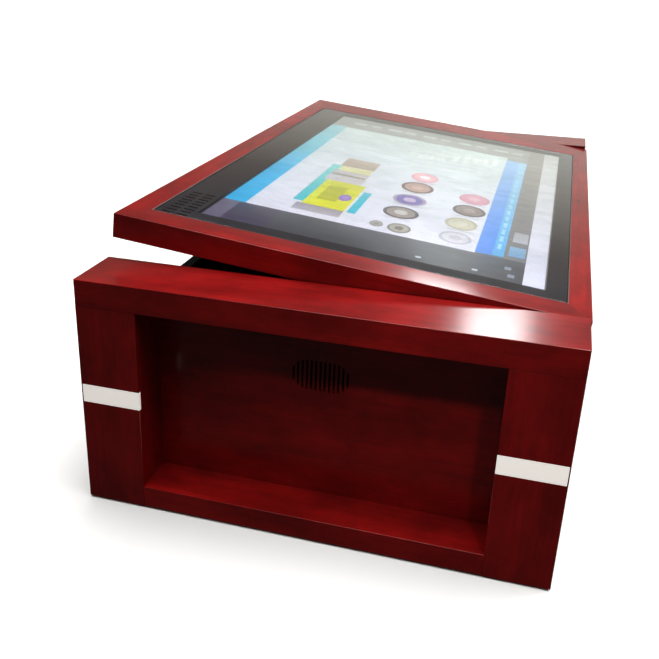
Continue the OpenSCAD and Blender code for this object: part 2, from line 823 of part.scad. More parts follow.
module computer_case() {
    top = base_top + case_h;
    color(black * 3) difference() {
        block(case_x, case_y, [base_top, top]);
        block(inset(case_x, sheet_t), inset(case_y, sheet_t), [base_top + sheet_t, top - sheet_t]);
        for (i = [0 : 9], y = [-1, 1] * 60)
            translate([case_x[0] + 60 + i * cover_slot_pitch, y - 30, top - sheet_t - 1])
                cube([vent_slot[0], 60, sheet_t + 2]);
        block([case_x[1] - sheet_t - 1, case_x[1] + 1], port_y, [base_top + port_z[0], base_top + port_z[1]]);
    }
}

module computer_board() {
    foot = base_top + sheet_t;
    z0 = foot + post_h;
    x = [case_x[1] - 190, case_x[1] - 4];
    y = [port_y[0] - 20, port_y[1] + 40];
    port_w = port_pitch - 6;
    color(board_green) {
        block(x, y, [z0, z0 + board_t]);
        for (px = inset(x, 10), py = inset(y, 10)) translate([px, py, foot]) cylinder(r = post_r, h = post_h);
        for (i = [0 : ports - 1])
            block([case_x[1] - 26, case_x[1] + 1], [0, port_w] + [1, 1] * (port_y[0] + 6 + i * port_pitch),
                [z0 + board_t, z0 + port_w]);
        block([case_x[1] - 120, case_x[1] - 60], [-40, 20], [z0 + board_t, z0 + 30]);
    }
}

module power_supply() {
    top = base_top + psu_h;
    hole_pitch = 13;
    color(steel) difference() {
        block(psu_x, psu_y, [base_top, top]);
        block(inset(psu_x, sheet_t), [psu_y[0] + sheet_t, psu_y[1] - terminals - 6],
            [base_top + sheet_t, top - sheet_t]);
        block(inset(psu_x, 4), [psu_y[1] - terminals, psu_y[1] + 1], [base_top + terminals, top + 1]);
        for (i = [0 : 6], j = [0 : 4])
            translate([psu_x[0] + 16 + i * hole_pitch, psu_y[0] + 30 + j * hole_pitch, top - sheet_t - 1])
                cylinder(r = 3, h = sheet_t + 2);
    }
}

module led_driver() {
    color([0.85, 0.85, 0.83]) {
        block(driver_x, driver_y, [base_top, base_top + driver_h]);
        for (y = [driver_y[0] - driver_ear, driver_y[1]])
            block(inset(driver_x, driver_ear), [y, y + driver_ear], [base_top, base_top + 3]);
    }
}

module power_inlet() {
    body_w = inlet_w - 12;
    body_h = inlet_h - 8;
    color(black) {
        difference() {
            union() {
                block([wall_x, wall_x + inlet_flange],
                    about(inlet_y, inlet_w / 2), about(inlet_z, inlet_h / 2));
                block([wall_x - inlet_d, wall_x], about(inlet_y, body_w / 2), about(inlet_z, body_h / 2));
            }
            block([wall_x + inlet_flange - socket_d, wall_x + inlet_flange + 1],
                about(socket_y, socket[0] / 2), about(inlet_z, socket[1] / 2));
            block([wall_x - 10, wall_x + inlet_flange + 1],
                about(rocker_y, rocker_w / 2 + play), about(inlet_z, rocker_h / 2 + play));
            rod_y(rocker_pin + pin_play, rocker_w + 4, [wall_x, rocker_y - rocker_w / 2 - 2, inlet_z]);
        }
        for (pin = pin_places)
            block([wall_x + inlet_flange - socket_d - 1, wall_x - 2],
                about(socket_y + pin[0], pin_half[0]), about(inlet_z + pin[1], pin_half[1]));
    }
}

module power_rocker() {
    depth = 7;
    color([0.10, 0.10, 0.10]) translate([wall_x, rocker_y, inlet_z]) rotate([0, rocker_tilt, 0]) {
        rotate([90, 0, 0]) translate([0, 0, -rocker_w / 2]) linear_extrude(rocker_w)
            polygon([[-depth, 0], [-2, -rocker_h / 2 + 1], [depth - 2, -rocker_h / 2 + 1],
                [depth - 3.5, 0], [depth - 2, rocker_h / 2 - 1], [-2, rocker_h / 2 - 1]]);
        rod_y(rocker_pin, rocker_w + 3, [0, -rocker_w / 2 - 1.5, 0]);
    }
}

module fan_frame() {
    color(black) translate([wall_in - fan_d, fan_y, fan_z]) {
        difference() {
            translate([0, -fan_w / 2, -fan_w / 2]) cube([fan_d, fan_w, fan_w]);
            rod_x(fan_r, fan_d + 2, [-1, 0, 0]);
            for (y = [-1, 1], z = [-1, 1])
                rod_x(fan_hole_r, fan_d + 2, [-1, y * (fan_w / 2 - fan_hole_in), z * (fan_w / 2 - fan_hole_in)]);
        }
        rod_x(hub_r, hub_t, [0, 0, 0]);
        rod_x(axle_r, fan_d - rotor_x, [0, 0, 0]);
        for (a = [0 : 90 : 270]) rotate([a, 0, 0])
            block([0, hub_t], about(0, spoke_w / 2), [hub_r - 2, fan_r + 1]);
    }
}

module fan_rotor() {
    color(black * 4) translate([wall_in - fan_d + rotor_x, fan_y, fan_z]) difference() {
        union() {
            rod_x(hub_r, rotor_t, [0, 0, 0]);
            for (i = [0 : blades - 1]) rotate([i * 360 / blades, 0, 0])
                translate([rotor_t / 2, 0, hub_r - 1]) rotate([0, 0, blade_twist])
                    block(about(0, blade_t / 2), about(0, blade_w / 2), [0, fan_r - blade_play - hub_r]);
        }
        rod_x(axle_r + pin_play, rotor_t + 2, [-1, 0, 0]);
    }
}

// Height of the lower edge of one of the vent's slots
function grille_slot_z(side, i) = fan_z - side / 2 + grille_frame + i * grille_slot_pitch;

module vent_grille() {
    side = fan_w + 12;
    color(black) difference() {
        block([wall_x, wall_x + 2], about(fan_y, side / 2), about(fan_z, side / 2));
        for (i = [0 : grille_bars - 1])
            block([wall_x - 1, wall_x + 3], about(fan_y, side / 2 - grille_frame),
                [grille_slot_z(side, i), grille_slot_z(side, i) + grille_slot_h]);
    }
}

// Mains lead fixed inside, from the inlet down to the power supply
module mains_lead() {
    x1 = wall_x - inlet_d;
    z0 = base_top + lead_r;
    x2 = psu_x[1];
    turn_x = x1 - lead_bend - 4;
    color(black) {
        rod_x(lead_r, 4, [turn_x + lead_bend, inlet_y, inlet_z]);
        translate([turn_x + lead_bend, inlet_y, inlet_z - lead_bend]) rotate([90, 0, 0])
            rotate([0, 0, 90]) rotate_extrude(angle = 90) translate([lead_bend, 0]) circle(r = lead_r);
        translate([turn_x, inlet_y, z0 + lead_bend]) cylinder(r = lead_r, h = inlet_z - z0 - 2 * lead_bend);
        translate([turn_x - lead_bend, inlet_y, z0 + lead_bend]) rotate([90, 0, 0])
            rotate([0, 0, -90]) rotate_extrude(angle = 90) translate([lead_bend, 0]) circle(r = lead_r);
        rod_x(lead_r, turn_x - lead_bend - x2, [x2, inlet_y, z0]);
    }
}

top_rail(-1);  // near_top_rail
stile(-1, -1);  // near_left_stile
stile(-1, 1);  // near_right_stile
bottom_rail(-1);  // near_bottom_rail
back_panel(-1);  // near_back_panel
light_bands(-1);  // near_light_bands
light_bars(-1);  // near_light_bars
speaker(-1);  // near_speaker
top_rail(1);  // far_top_rail
stile(1, -1);  // far_left_stile
stile(1, 1);  // far_right_stile
bottom_rail(1);  // far_bottom_rail
back_panel(1);  // far_back_panel
light_bands(1);  // far_light_bands
light_bars(1);  // far_light_bars
speaker(1);  // far_speaker
left_wall();
right_wall();
base_board();
corner_battens();
glides();
lid_bumpers();
hinge_wall_leaves();
hinge_pins();
hinge_lid_leaves();
hinge_screws();
lid_hinge_screws();
lid_near_rail();
lid_far_rail();
lid_left_rail();
lid_right_rail();
glass();
glass_bead();
mask_plate();
display_bezel();
display_panel();
light_guide();
display_tray();
display_brackets();
electronics_cover();
display_board();
strut_wall_brackets();
strut_lid_brackets();
strut_cylinder(-1);  // near_strut_cylinder
strut_rod(-1);  // near_strut_rod
strut_cylinder(1);  // far_strut_cylinder
strut_rod(1);  // far_strut_rod
lock_barrel();
lock_cam();
lock_keeper();
computer_case();
computer_board();
power_supply();
led_driver();
power_inlet();
power_rocker();
fan_frame();
fan_rotor();
vent_grille();
mains_lead();
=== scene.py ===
"""Looks of a low gaming table: lacquered boards, lit bands, a tilting glass lid and the screen under it."""

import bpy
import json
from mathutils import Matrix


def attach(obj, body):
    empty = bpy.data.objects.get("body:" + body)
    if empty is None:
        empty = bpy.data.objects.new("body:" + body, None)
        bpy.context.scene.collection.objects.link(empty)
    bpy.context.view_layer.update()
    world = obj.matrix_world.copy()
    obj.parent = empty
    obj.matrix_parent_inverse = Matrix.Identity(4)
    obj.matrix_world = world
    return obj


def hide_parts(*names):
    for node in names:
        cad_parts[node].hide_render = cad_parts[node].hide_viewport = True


bl_info = {
    "name": "Gaming Table Looks",
    "version": (1, 0, 0),
    "blender": (4, 5, 0),
    "location": "3D View > Sidebar > Gaming Table",
    "description": "Dresses the frame of a low gaming table with bevelled boards, glass and a lit screen",
    "category": "Object",
}

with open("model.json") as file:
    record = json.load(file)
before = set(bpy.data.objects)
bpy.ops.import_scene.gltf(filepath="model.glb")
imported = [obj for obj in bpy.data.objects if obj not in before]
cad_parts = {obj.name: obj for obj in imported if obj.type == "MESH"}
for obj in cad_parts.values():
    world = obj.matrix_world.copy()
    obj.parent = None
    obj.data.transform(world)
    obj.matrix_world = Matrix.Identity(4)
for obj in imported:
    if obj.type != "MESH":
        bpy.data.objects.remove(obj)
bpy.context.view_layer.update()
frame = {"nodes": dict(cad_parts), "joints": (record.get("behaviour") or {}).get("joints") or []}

import json
import math

import bmesh
import bpy
from mathutils import Matrix, Vector

MM = 0.001
LID_JOINT = next(j for j in frame["joints"] if j["name"] == "lid_tilt")
LID_OPEN = -math.radians(LID_JOINT["range_deg"][0])
LID_AXIS = Vector(LID_JOINT["pos_m"])
OPENED = (
    Matrix.Translation(LID_AXIS) @ Matrix.Rotation(LID_OPEN, 4, "Y") @ Matrix.Translation(-LID_AXIS)
)


def colour(code):
    """Linear RGBA of an sRGB hex colour."""
    parts = [int(code[i:i + 2], 16) / 255 for i in (1, 3, 5)]
    return tuple(c / 12.92 if c <= 0.04045 else ((c + 0.055) / 1.055) ** 2.4 for c in parts) + (1.0,)


# ---- Sizes and colours that a user would change ----


class BoardSettings(bpy.types.PropertyGroup):
    """Colours and sizes of the stained and lacquered boards"""

    stain: bpy.props.FloatVectorProperty(
        name="Stain", description="Colour of the cherry stain on plain wood", subtype="COLOR",
        default=colour("#9c1210")[:3], min=0, max=1)
    stain_deep: bpy.props.FloatVectorProperty(
        name="Deep stain", description="Colour where the grain takes up more stain", subtype="COLOR",
        default=colour("#800b0c")[:3], min=0, max=1)
    arris: bpy.props.FloatProperty(
        name="Arris", description="Width of the eased edges", unit="LENGTH",
        default=0.001, min=0.0002, max=0.004)
    grain_length: bpy.props.FloatProperty(
        name="Grain length", description="Length of a streak of the veneer", unit="LENGTH",
        default=0.16, min=0.02)
    grain_width: bpy.props.FloatProperty(
        name="Grain width", description="Width of a streak of the veneer", unit="LENGTH",
        default=0.006, min=0.0005)


class LidSettings(bpy.types.PropertyGroup):
    """Sizes and brightness of the glass and the screen"""

    glass_arris: bpy.props.FloatProperty(
        name="Glass arris", description="Width of the ground edge of the glass", unit="LENGTH",
        default=0.0008, min=0.0001, max=0.002)
    screen_light: bpy.props.FloatProperty(
        name="Screen light", description="Brightness of the lit screen", default=1.5, min=0)
    band_light: bpy.props.FloatProperty(
        name="Band light", description="Brightness of the frosted bands", default=0.6, min=0)


class StageSettings(bpy.types.PropertyGroup):
    """Colour of the floor and strength of the studio lights"""

    overhead: bpy.props.FloatProperty(
        name="Overhead", description="Strength of the wide overhead light", default=4.7, min=0)
    window: bpy.props.FloatProperty(
        name="Window", description="Power of the narrow light behind, which the top rails mirror",
        default=17, min=0)
    front: bpy.props.FloatProperty(
        name="Front", description="Power of the fill light in front", default=16, min=0)
    side: bpy.props.FloatProperty(
        name="Side", description="Power of the light on the right-hand stile", default=60, min=0)
    rail: bpy.props.FloatProperty(
        name="Rail", description="Power of the light on the middle of the near rails", default=55, min=0)
    floor_colour: bpy.props.FloatVectorProperty(
        name="Floor", description="Colour of the floor", subtype="COLOR",
        default=colour("#f7f7f5")[:3], min=0, max=1)


# ---- Shapes ----


def copied(node):
    """A CAD node's shape with its doubles merged and its flat areas joined into whole faces."""
    bm = bmesh.new()
    bm.from_mesh(frame["nodes"][node].data)
    bmesh.ops.remove_doubles(bm, verts=bm.verts, dist=1e-5)
    bmesh.ops.dissolve_limit(bm, angle_limit=math.radians(0.5), verts=bm.verts, edges=bm.edges)
    return bm


def ease(bm, width, least=30, segments=2, along="XYZ"):
    """Rounds the edges that run along the given axes, where two faces meet at more than the least angle."""
    def runs(edge):
        """Whether an edge runs along one of the axes, or as near to it as the tilt of the lid leaves it."""
        shares = [abs(c) for c in (edge.verts[1].co - edge.verts[0].co).normalized()]
        return max(shares) > 0.99 and "XYZ"[shares.index(max(shares))] in along

    sharp = [e for e in bm.edges if e.is_manifold and e.calc_face_angle() > math.radians(least) and runs(e)]
    bmesh.ops.bevel(
        bm, geom=sharp, offset=width, offset_type="OFFSET", segments=segments, profile=0.5,
        affect="EDGES", clamp_overlap=True, material=-1)


def cuboid(bm, low, high):
    """A box between two corners, given in metres."""
    low, high = Vector(low), Vector(high)
    size = high - low
    shape = Matrix.Translation((low + high) / 2) @ Matrix.Diagonal((*size, 1))
    return bmesh.ops.create_cube(bm, size=1, matrix=shape)["verts"]


def closed_box(node):
    """Lowest and highest corner that a node of the lid has when the lid is closed."""
    shut = OPENED.inverted()
    points = [shut @ v.co for v in frame["nodes"][node].data.vertices]
    return (Vector([min(p[i] for p in points) for i in range(3)]),
            Vector([max(p[i] for p in points) for i in range(3)]))


def settle(bm, name, body, materials, stands_for=(), smooth=True):
    """Turns a bmesh into a piece that rides on a body, takes the given materials and may stand for CAD nodes.
    """
    mesh = bpy.data.meshes.new(name)
    bm.to_mesh(mesh)
    bm.free()
    for made in materials:
        mesh.materials.append(made)
    piece = bpy.data.objects.new(name, mesh)
    bpy.context.scene.collection.objects.link(piece)
    if smooth:
        mesh.shade_smooth()
        mesh.set_sharp_from_angle(angle=math.radians(60))
        even = piece.modifiers.new("even_shading", "WEIGHTED_NORMAL")
        even.weight = 80
        even.keep_sharp = True
    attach(piece, body)
    if stands_for:
        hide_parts(*stands_for)
    return piece


def dress(made, *nodes):
    """Gives CAD nodes, which keep their shape, a material."""
    for name in nodes:
        for place in frame["nodes"][name].material_slots:
            place.material = made


# ---- Materials ----


def add(tree, kind, links=None, values=None, stops=None, **settings):
    """Adds a shader node with its settings, socket values, colour stops and links, and returns it."""
    made = tree.nodes.new("ShaderNode" + kind)
    for name, value in settings.items():
        setattr(made, name, value)
    for name, value in (values or {}).items():
        made.inputs[name].default_value = value
    for name, output in (links or {}).items():
        tree.links.new(output, made.inputs[name])
    for place, (at, shade) in enumerate(stops or ()):
        ends = made.color_ramp.elements
        stop = ends[place] if place < len(ends) else ends.new(at)
        stop.position, stop.color = at, shade
    return made


def shader_of(name, values):
    """A new material's node tree and its shader, with constants set on the shader's own sockets."""
    made = bpy.data.materials.new(name)
    made.use_nodes = True
    shader = made.node_tree.nodes["Principled BSDF"]
    for socket, value in values.items():
        shader.inputs[socket].default_value = value
    return made, made.node_tree, shader


def lain(tree, size, **more):
    """The piece's own coordinates, in which a pattern takes a real size in metres."""
    at = add(tree, "TexCoord")
    return add(tree, "Mapping", {"Vector": at.outputs["Object"]}, {"Scale": size, **more},
               vector_type="TEXTURE").outputs["Vector"]


def lacquered_cherry(name, grain, tilt=0.0):
    """Cherry-stained veneer under sprayed gloss lacquer: streaky deep red, with soft bright highlights."""
    board = bpy.context.scene.gaming_boards
    made, tree, shader = shader_of(name, {
        "Roughness": 0.5, "IOR": 1.5, "Specular IOR Level": 0.06,
        "Coat Weight": 0.9, "Coat Roughness": 0.17, "Coat IOR": 1.48})

    def lie(long, wide):
        """The pattern's coordinates, stretched to a real length along the grain and width across it."""
        size = [wide] * 3
        size["XYZ".index(grain)] = long
        return lain(tree, size, Location=LID_AXIS, Rotation=(0, tilt, 0))

    streak = add(tree, "TexNoise", {"Vector": lie(board.grain_length, board.grain_width)},
                 {"Scale": 1, "Detail": 5, "Roughness": 0.6, "Distortion": 0.3})
    # Cathedral figure of the veneer: bands 30 mm wide that wander along half a metre
    figure = add(tree, "TexNoise", {"Vector": lie(0.5, 0.03)}, {"Scale": 1, "Detail": 3, "Distortion": 0.8})
    # Pores are 0.2 mm wide in real cherry; drawn 1 mm wide so that they show
    pore = add(tree, "TexNoise", {"Vector": lie(0.018, 0.001)}, {"Scale": 1, "Detail": 2})
    # Blotches, where the stain was wiped unevenly, about 100 mm across with smaller ones among them
    blotch = add(tree, "TexNoise", {"Vector": lie(0.14, 0.08)}, {"Scale": 1, "Detail": 4, "Roughness": 0.65})
    deep = (*board.stain_deep, 1)
    plain = (*board.stain, 1)
    body = add(tree, "ValToRGB", {"Fac": streak.outputs["Fac"]}, stops=[(0.3, deep), (0.68, plain)])
    bands = add(tree, "ValToRGB", {"Fac": figure.outputs["Fac"]}, stops=[(0.36, deep), (0.62, plain)])
    grained = add(tree, "Mix", {6: bands.outputs["Color"], 7: body.outputs["Color"]}, {0: 0.6},
                  data_type="RGBA")
    dots = add(tree, "ValToRGB", {"Fac": pore.outputs["Fac"]},
               stops=[(0.30, colour("#a89c9c")), (0.42, colour("#ffffff"))])
    pored = add(tree, "Mix", {6: grained.outputs[2], 7: dots.outputs["Color"]}, {0: 0.35},
                data_type="RGBA", blend_type="MULTIPLY")
    wiped = add(tree, "ValToRGB", {"Fac": blotch.outputs["Fac"]},
                stops=[(0.36, colour("#ab9898")), (0.66, colour("#ffffff"))])
    stained = add(tree, "Mix", {6: pored.outputs[2], 7: wiped.outputs["Color"]}, {0: 0.8},
                  data_type="RGBA", blend_type="MULTIPLY")
    tree.links.new(stained.outputs[2], shader.inputs["Base Color"])
    dent = add(tree, "Bump", {"Height": streak.outputs["Fac"]}, {"Strength": 0.12, "Distance": 0.0004})
    tree.links.new(dent.outputs["Normal"], shader.inputs["Normal"])
    # Orange peel of the sprayed lacquer: ripples about 8 mm apart
    peel = add(tree, "TexNoise", {"Vector": lie(0.008, 0.008)}, {"Scale": 1, "Detail": 1})
    ripple = add(tree, "Bump", {"Height": peel.outputs["Fac"]}, {"Strength": 0.05, "Distance": 0.0004})
    tree.links.new(ripple.outputs["Normal"], shader.inputs["Coat Normal"])
    return made


def speckled(name, light, dark, grain, rough, bump=0.1, metallic=0.0, specular=0.5, stretch=(1, 1, 1)):
    """A surface of two close shades over a noise of a real grain size, with uneven gloss and relief."""
    made, tree, shader = shader_of(name, {"Metallic": metallic, "Specular IOR Level": specular})
    noise = add(tree, "TexNoise", {"Vector": lain(tree, [grain * share for share in stretch])},
                {"Scale": 1, "Detail": 4, "Roughness": 0.6})
    shades = add(tree, "ValToRGB", {"Fac": noise.outputs["Fac"]},
                 stops=[(0.35, colour(dark)), (0.65, colour(light))])
    gloss = add(tree, "MapRange", {"Value": noise.outputs["Fac"]},
                {"From Min": 0.3, "From Max": 0.7, "To Min": rough * 0.85, "To Max": rough * 1.15})
    relief = add(tree, "Bump", {"Height": noise.outputs["Fac"]}, {"Strength": bump, "Distance": grain * 0.3})
    tree.links.new(shades.outputs["Color"], shader.inputs["Base Color"])
    tree.links.new(gloss.outputs["Result"], shader.inputs["Roughness"])
    tree.links.new(relief.outputs["Normal"], shader.inputs["Normal"])
    return made


def opal_acrylic():
    """Cast opal acrylic, sanded on the face: even soft white, glowing faintly from the bar behind."""
    lid = bpy.context.scene.gaming_lid
    made, tree, shader = shader_of("opal_acrylic_cast", {
        "Roughness": 0.35, "IOR": 1.49, "Emission Strength": lid.band_light})
    # Fine dust in the casting, 3 mm apart, so that the white isn't dead flat
    dust = add(tree, "TexNoise", {"Vector": lain(tree, [0.003] * 3)}, {"Scale": 1, "Detail": 2})
    shades = add(tree, "ValToRGB", {"Fac": dust.outputs["Fac"]},
                 stops=[(0.3, colour("#e6dfd6")), (0.7, colour("#f6f2ec"))])
    tree.links.new(shades.outputs["Color"], shader.inputs["Base Color"])
    tree.links.new(shades.outputs["Color"], shader.inputs["Emission Color"])
    return made


def toughened_glass():
    """Clear float glass, toughened and polished: mirrors the room at a low angle, with a greenish tint."""
    made, tree, shader = shader_of("float_glass_toughened", {
        "Roughness": 0.0, "IOR": 1.52, "Transmission Weight": 1.0})
    # Wiped smears, 60 mm long, only just darker than the clean glass
    smear = add(tree, "TexNoise", {"Vector": lain(tree, (0.06, 0.02, 0.02))}, {"Scale": 1, "Detail": 3})
    tint = add(tree, "ValToRGB", {"Fac": smear.outputs["Fac"]},
               stops=[(0.35, colour("#f1f6f4")), (0.65, colour("#fbfdfc"))])
    tree.links.new(tint.outputs["Color"], shader.inputs["Base Color"])
    return made


def lit_panel():
    """A liquid-crystal panel behind an anti-glare film: near black, with the picture in its own light."""
    lid = bpy.context.scene.gaming_lid
    made, tree, shader = shader_of("liquid_crystal_panel_lit", {
        "Base Color": colour("#0a0b0d"), "Roughness": 0.3, "Emission Strength": lid.screen_light})
    picture = add(tree, "VertexColor", layer_name="picture")
    # Uneven backlight, 120 mm across, and a weave of picture cells drawn 4 mm wide so that it shows
    lie = lain(tree, [0.12] * 3)
    clouds = add(tree, "TexNoise", {"Vector": lie}, {"Scale": 1, "Detail": 2})
    cells = add(tree, "TexNoise", {"Vector": lie}, {"Scale": 26, "Detail": 4, "Roughness": 0.7})
    both = add(tree, "Math", {0: clouds.outputs["Fac"], 1: cells.outputs["Fac"]}, operation="ADD")
    veil = add(tree, "MapRange", {"Value": both.outputs["Value"]},
               {"From Min": 0.7, "From Max": 1.3, "To Min": 0.82, "To Max": 1.06})
    shown = add(tree, "VectorMath", {0: picture.outputs["Color"], "Scale": veil.outputs["Result"]},
                operation="SCALE")
    tree.links.new(shown.outputs["Vector"], shader.inputs["Emission Color"])
    return made


def circuit_laminate():
    """Glass-fibre laminate with green solder mask: fine copper tracks show as lighter lines."""
    made, tree, shader = shader_of("circuit_laminate_solder_masked", {"Roughness": 0.4, "IOR": 1.5})
    # Tracks, in cells of 6 by 3 mm
    tracks = add(tree, "TexBrick", {"Vector": lain(tree, [0.012] * 3)}, {
        "Scale": 1, "Mortar Size": 0.03, "Brick Width": 0.5, "Row Height": 0.25,
        "Color1": colour("#0c3a1c"), "Color2": colour("#0f4623"), "Mortar": colour("#2c7a48")})
    relief = add(tree, "Bump", {"Height": tracks.outputs["Fac"]}, {"Strength": 0.2, "Distance": 0.0002})
    tree.links.new(tracks.outputs["Color"], shader.inputs["Base Color"])
    tree.links.new(relief.outputs["Normal"], shader.inputs["Normal"])
    return made


# ---- Operators, one for each group of pieces ----

NEAR_FAR = ("near", "far")


class GAMING_OT_end_frames(bpy.types.Operator):
    """Makes the boards of both end frames, with eased edges and the grain along each board"""

    bl_idname = "gaming.end_frames"
    bl_label = "End frames"

    def execute(self, context):
        arris = context.scene.gaming_boards.arris
        lying = lacquered_cherry("cherry_veneer_lacquered_lying", "X")
        standing = lacquered_cherry("cherry_veneer_lacquered_standing", "Z")
        boards = [("top_rail", lying), ("bottom_rail", lying), ("left_stile", standing),
                  ("right_stile", standing), ("back_panel", lying)]
        for end in NEAR_FAR:
            for board, veneer in boards:
                node = f"{end}_{board}"
                bm = copied(node)
                # A joint between two boards stays tight, so a stile is eased only up its length
                if board != "back_panel":
                    ease(bm, arris, along="Z" if "stile" in board else "XZ")
                settle(bm, f"{node}_board", "table", [veneer], [node])
        return {"FINISHED"}


class GAMING_OT_carcass(bpy.types.Operator):
    """Makes the side walls, and finishes the base board, battens, glides and bumpers"""

    bl_idname = "gaming.carcass"
    bl_label = "Carcass"

    def execute(self, context):
        arris = context.scene.gaming_boards.arris
        long = lacquered_cherry("cherry_veneer_lacquered_long", "Y")
        # Black on the walls' top faces, which the lid covers: painted shade of the dark gap under the lid's
        # edge, dull, with an orange-peel nap
        wall_top_shade = speckled("wall_top_painted_shade", "#141214", "#0c0b0c", 0.002, 0.7, bump=0.2)
        wall_top = max(v.co.z for v in frame["nodes"]["left_wall"].data.vertices)
        for node in ("left_wall", "right_wall"):
            bm = copied(node)
            ease(bm, arris * 0.7, least=60)
            # The top faces under the lid take the black of the painted shade
            for face in bm.faces:
                on_top = face.normal.z > 0.9 and face.calc_center_median().z > wall_top - MM
                face.material_index = int(on_top)
            settle(bm, f"{node}_board", "table", [long, wall_top_shade], [node])
        # Unlacquered board under the carcass: dull, with chips of darker fibre 3 mm long
        fibre = speckled("fibreboard_stained", "#4a201a", "#2e120f", 0.003, 0.8, bump=0.3)
        # Planed pine battens: pale, with streaks along the battens
        pine = speckled("pine_planed", "#d9b986", "#b48a56", 0.004, 0.6, bump=0.15, stretch=(1, 12, 1))
        # Moulded nylon glides: near black, satin
        nylon = speckled("nylon_moulded", "#1c1c1e", "#121214", 0.0015, 0.45)
        # Moulded rubber bumpers: near black, dull
        rubber = speckled("rubber_moulded", "#17171a", "#0d0d0f", 0.001, 0.8, bump=0.25)
        dress(fibre, "base_board")
        dress(pine, "corner_battens")
        dress(nylon, "glides")
        dress(rubber, "lid_bumpers")
        return {"FINISHED"}


class GAMING_OT_light_bands(bpy.types.Operator):
    """Makes the frosted bands that are let into the stiles, and finishes the light bars behind them"""

    bl_idname = "gaming.light_bands"
    bl_label = "Light bands"

    def execute(self, context):
        opal = opal_acrylic()
        # Extruded aluminium, left as drawn: fine lines along the bar
        bar = speckled("aluminium_extruded", "#d5d7d9", "#b4b7ba", 0.0008, 0.35,
                       metallic=1.0, stretch=(30, 1, 1))
        for end in NEAR_FAR:
            node = f"{end}_light_bands"
            bm = copied(node)
            ease(bm, 0.6 * MM)
            settle(bm, f"{end}_opal_bands", "table", [opal], [node])
            dress(bar, f"{end}_light_bars")
        return {"FINISHED"}


class GAMING_OT_lid_frame(bpy.types.Operator):
    """Makes the four mitred rails of the lid, with the grain along each rail"""

    bl_idname = "gaming.lid_frame"
    bl_label = "Lid frame"

    def execute(self, context):
        arris = context.scene.gaming_boards.arris
        across = lacquered_cherry("cherry_veneer_lacquered_lid_across", "X", LID_OPEN)
        along = lacquered_cherry("cherry_veneer_lacquered_lid_along", "Y", LID_OPEN)
        for rail, veneer in (("near", across), ("far", across), ("left", along), ("right", along)):
            node = f"lid_{rail}_rail"
            bm = copied(node)
            ease(bm, arris, along="XY")
            settle(bm, f"{node}_board", "lid", [veneer], [node])
        return {"FINISHED"}


class GAMING_OT_glass(bpy.types.Operator):
    """Makes the glass and the near-black felt under the louvres, which paints the shade in the slots, and
    finishes the bead and the black mask
    """

    bl_idname = "gaming.glass"
    bl_label = "Glass"

    def execute(self, context):
        bm = copied("glass")
        ease(bm, context.scene.gaming_lid.glass_arris, segments=1)
        # The glass lies on the mask; its underside is lifted a hair, so that the two faces don't coincide
        hair = 0.2 * MM
        shut = OPENED.inverted()
        middle = sum(corner.z for corner in closed_box("glass")) / 2
        bmesh.ops.translate(
            bm, vec=OPENED.to_3x3() @ Vector((0, 0, hair)),
            verts=[v for v in bm.verts if (shut @ v.co).z < middle])
        plate = settle(bm, "glass_plate", "lid", [toughened_glass()], ["glass"], smooth=False)
        # The studio's light passes through the glass to the mask and the screen
        plate.visible_shadow = False
        # Cured silicone: pale pinkish grey, soft sheen
        silicone = speckled("silicone_cured", "#5a4b49", "#4a3d3b", 0.002, 0.4)
        # Black enamel printed behind the glass: deep, smooth and even, with no gloss of its own
        enamel = speckled("enamel_printed_black", "#222126", "#1c1b20", 0.004, 0.4, bump=0.02, specular=0.05)
        dress(silicone, "glass_bead")
        dress(enamel, "mask_plate")
        # Felt under the louvres, near black so that the slots show painted shade: black, fuzzy
        slot_shade_felt = speckled("felt_black_painted_shade", "#08080a", "#040405", 0.0015, 0.95, bump=0.4, specular=0.05)
        # It fills the strip between the left rail and the bezel, from the near rail past every louvre
        gap = MM
        past_bezel_end = 170 * MM
        thickness = 2.6 * MM
        left, near, bezel, mask = (
            closed_box(node) for node in ("lid_left_rail", "lid_near_rail", "display_bezel", "mask_plate"))
        top = mask[0].z - 0.4 * MM
        bm = bmesh.new()
        cuboid(bm, (left[1].x + gap, near[1].y + gap, top - thickness),
               (bezel[0].x - gap, bezel[0].y + past_bezel_end, top))
        bmesh.ops.subdivide_edges(bm, edges=bm.edges, cuts=3, use_grid_fill=True)
        bmesh.ops.transform(bm, matrix=OPENED, verts=bm.verts)
        ease(bm, 0.3 * MM)
        # A dark sheet of painted shade under the louvre slots
        settle(bm, "louvre_painted_shade", "lid", [slot_shade_felt])
        return {"FINISHED"}


